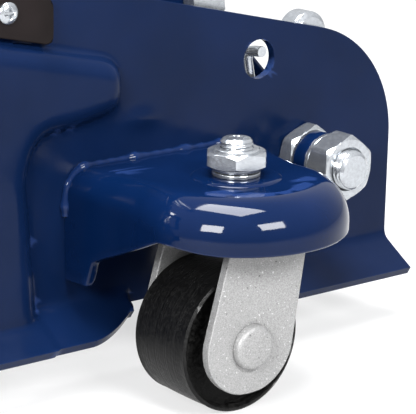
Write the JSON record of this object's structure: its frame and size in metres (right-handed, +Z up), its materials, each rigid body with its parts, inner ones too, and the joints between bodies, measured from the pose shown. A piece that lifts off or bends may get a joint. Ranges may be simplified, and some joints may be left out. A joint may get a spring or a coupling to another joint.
{
  "type": "hydraulic trolley jack",
  "caption": "Low steel trolley jack with pumped hydraulic lift arm, level saddle, plain front wheels, rear swivel casters and a leaning handle.",
  "frame": {"origin": "centre of the bounding box on the floor, between the wheels", "axes": "+X towards the handle end, +Y towards the right side plate seen from the handle, +Z up; the lift arm is fully lowered and the handle leans forward on its stop"},
  "size_m": [0.65, 0.3166, 0.6005],
  "materials": {
    "blue_paint": "glossy dark blue enamel over pressed steel",
    "dark_blue_casting": "dark blue enamel over rough castings",
    "zinc_plating": "bright zinc plating",
    "zinc_matt": "matt grainy zinc plating",
    "black_wheel": "black coating, turned tread and rough cast sides",
    "bare_steel": "oiled bare steel",
    "hard_chrome": "hard chrome",
    "black_rubber": "matt black rubber",
    "black_plastic": "satin black moulding"
  },
  "bodies": {
    "frame": {"side_plate_left": "blue_paint", "side_plate_right": "blue_paint", "caster_bracket_left": "blue_paint", "caster_bracket_right": "blue_paint", "caster_stem_left": "zinc_plating", "caster_stem_right": "zinc_plating", "caster_nut_left": "zinc_plating", "caster_nut_right": "zinc_plating", "front_axle": "zinc_plating", "front_tie_rod": "zinc_plating", "rear_tie_rod": "zinc_plating", "base_plate": "blue_paint", "yoke_bolt_left": "zinc_plating", "yoke_bolt_right": "zinc_plating", "yoke_jam_nut_left": "zinc_plating", "yoke_jam_nut_right": "zinc_plating", "yoke_outer_nut_left": "zinc_plating", "yoke_outer_nut_right": "zinc_plating", "yoke_buffer": "zinc_plating", "yoke_spring": "zinc_plating", "pump_block": "dark_blue_casting", "ram_cylinder": "dark_blue_casting", "filler_plug": "black_rubber", "arm_pivot_shaft": "zinc_plating", "radius_rod_stud_left": "zinc_plating", "radius_rod_stud_right": "zinc_plating", "carry_handle": "black_plastic"},
    "caster_left": {"caster_fork_left": "zinc_matt", "caster_bearing_left": "bare_steel", "caster_axle_rivet_left": "zinc_matt"},
    "caster_wheel_left": {"caster_wheel_left": "black_wheel"},
    "front_wheel_left": {"front_wheel_left": "black_wheel"},
    "caster_right": {"caster_fork_right": "zinc_matt", "caster_bearing_right": "bare_steel", "caster_axle_rivet_right": "zinc_matt"},
    "caster_wheel_right": {"caster_wheel_right": "black_wheel"},
    "front_wheel_right": {"front_wheel_right": "black_wheel"},
    "lift_arm": {"lift_arm_plate_left": "blue_paint", "lift_arm_plate_right": "blue_paint", "lift_arm_top": "blue_paint", "lug_pin": "bare_steel", "saddle_pin": "zinc_plating"},
    "saddle_bracket": {"saddle_bracket": "dark_blue_casting", "rod_cross_pin": "zinc_plating"},
    "saddle": {"saddle": "dark_blue_casting", "saddle_pad": "black_rubber"},
    "radius_rods": {"radius_rod_left": "blue_paint", "radius_rod_right": "blue_paint"},
    "ram": {"ram": "hard_chrome"},
    "ram_links": {"ram_link_left": "bare_steel", "ram_link_right": "bare_steel"},
    "yoke": {"handle_yoke": "blue_paint", "yoke_cross_bolt": "zinc_plating"},
    "yoke_roller": {"yoke_roller": "bare_steel"},
    "thumb_screw": {"thumb_screw": "zinc_plating"},
    "handle": {"handle_lower_tube": "zinc_plating", "handle_upper_tube": "zinc_plating", "handle_grip": "black_rubber"},
    "plunger": {"pump_plunger": "hard_chrome"},
    "release_valve": {"release_valve": "bare_steel"}
  },
  "joints": [
    {"name": "lift", "type": "hinge", "parent": "frame", "child": "lift_arm", "pos_m": [0.06, 0, 0.125], "axis": [0, 1, 0], "range_deg": [0, 58]},
    {"name": "saddle_level", "type": "hinge", "parent": "lift_arm", "child": "saddle_bracket", "pos_m": [-0.262, 0, 0.1], "axis": [0, 1, 0], "range_deg": [-58, 0]},
    {"name": "saddle_turn", "type": "hinge", "parent": "saddle_bracket", "child": "saddle", "pos_m": [-0.262, 0, 0.124], "axis": [0, 0, 1], "continuous": true},
    {"name": "parallel_rods", "type": "hinge", "parent": "frame", "child": "radius_rods", "pos_m": [0.05, 0, 0.091], "axis": [0, 1, 0], "range_deg": [0, 58]},
    {"name": "ram_link_swing", "type": "hinge", "parent": "lift_arm", "child": "ram_links", "pos_m": [0.0875, 0, 0.0774], "axis": [0, 1, 0], "range_deg": [-58, 0]},
    {"name": "ram_stroke", "type": "slide", "parent": "frame", "child": "ram", "axis": [-1, 0, 0], "range_m": [0, 0.0534]},
    {"name": "handle_pump", "type": "hinge", "parent": "frame", "child": "yoke", "pos_m": [0.2706, 0, 0.0832], "axis": [0, 1, 0], "range_deg": [0, 112]},
    {"name": "plunger_stroke", "type": "slide", "parent": "frame", "child": "plunger", "axis": [-1, 0, 0], "range_m": [0, 0.0283]},
    {"name": "roller_spin", "type": "hinge", "parent": "yoke", "child": "yoke_roller", "pos_m": [0.28469, 0, 0.07369], "axis": [0, 1, 0], "continuous": true},
    {"name": "handle_twist", "type": "hinge", "parent": "yoke", "child": "handle", "pos_m": [0.2706, 0, 0.0832], "axis": [-0.6157, 0, 0.788], "range_deg": [0, 180]},
    {"name": "release_turn", "type": "hinge", "parent": "frame", "child": "release_valve", "pos_m": [0.24, 0, 0.052], "axis": [1, 0, 0], "range_deg": [0, 180]},
    {"name": "thumb_screw_turn", "type": "hinge", "parent": "yoke", "child": "thumb_screw", "pos_m": [0.21071, 0, 0.19884], "axis": [0.788, 0, 0.6157], "range_deg": [0, 720]},
    {"name": "caster_swivel_left", "type": "hinge", "parent": "frame", "child": "caster_left", "pos_m": [0.192, -0.1113, 0.08], "axis": [0, 0, 1], "continuous": true},
    {"name": "caster_roll_left", "type": "hinge", "parent": "caster_left", "child": "caster_wheel_left", "pos_m": [0.1833, -0.1113, 0.03], "axis": [0, 1, 0], "continuous": true},
    {"name": "front_roll_left", "type": "hinge", "parent": "frame", "child": "front_wheel_left", "pos_m": [-0.287, -0.082, 0.038], "axis": [0, 1, 0], "continuous": true},
    {"name": "caster_swivel_right", "type": "hinge", "parent": "frame", "child": "caster_right", "pos_m": [0.192, 0.1113, 0.08], "axis": [0, 0, 1], "continuous": true},
    {"name": "caster_roll_right", "type": "hinge", "parent": "caster_right", "child": "caster_wheel_right", "pos_m": [0.1833, 0.1113, 0.03], "axis": [0, 1, 0], "continuous": true},
    {"name": "front_roll_right", "type": "hinge", "parent": "frame", "child": "front_wheel_right", "pos_m": [-0.287, 0.082, 0.038], "axis": [0, 1, 0], "continuous": true}
  ],
  "couplings": [
    {"joint": "saddle_level", "follows": "lift", "ratio": -1},
    {"joint": "parallel_rods", "follows": "lift", "ratio": 1},
    {"joint": "ram_link_swing", "follows": "lift", "ratio": -1},
    {"joint": "ram_stroke", "follows": "lift", "m_per_rad": 0.052653},
    {"joint": "plunger_stroke", "follows": "handle_pump", "m_per_rad": 0.014426},
    {"joint": "release_turn", "follows": "handle_twist", "ratio": 1}
  ]
}
